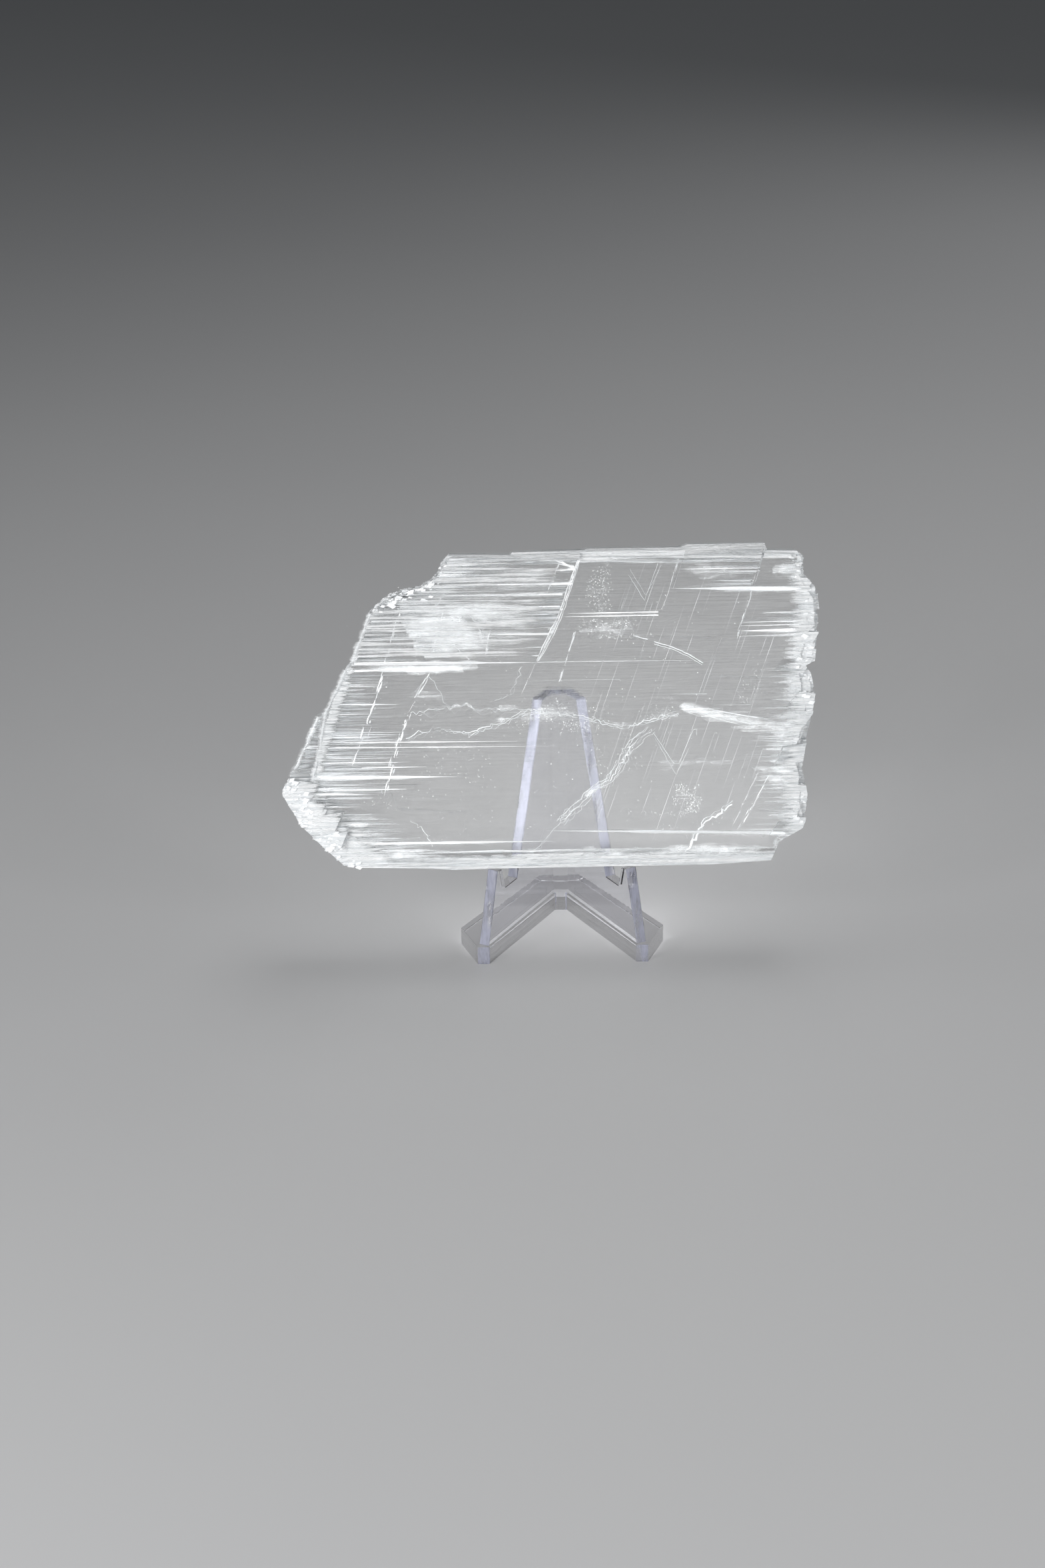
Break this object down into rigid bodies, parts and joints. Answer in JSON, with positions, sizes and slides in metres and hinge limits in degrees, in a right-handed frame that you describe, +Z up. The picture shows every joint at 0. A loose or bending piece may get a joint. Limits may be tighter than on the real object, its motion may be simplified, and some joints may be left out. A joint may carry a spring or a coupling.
{
  "type": "selenite crystal on a display stand",
  "caption": "Clear tabular selenite crystal with stepped cleavage faces, fibrous white ends and bevelled long edges, leaning on a small clear plastic easel stand.",
  "frame": {"origin": "on the table under the middle of the whole object", "axes": "+X along the crystal's fibres to the viewer's right, +Y away from the viewer, +Z up"},
  "size_m": [0.1246, 0.04, 0.0939],
  "materials": {
    "clear_selenite": "clear and glassy on the cleavage faces, silky white along the fibres and at the broken ends",
    "clear_plastic": "clear gloss moulding with faintly frosted edges"
  },
  "bodies": {
    "root": {"selenite_crystal": "clear_selenite", "display_stand": "clear_plastic"}
  },
  "joints": []
}
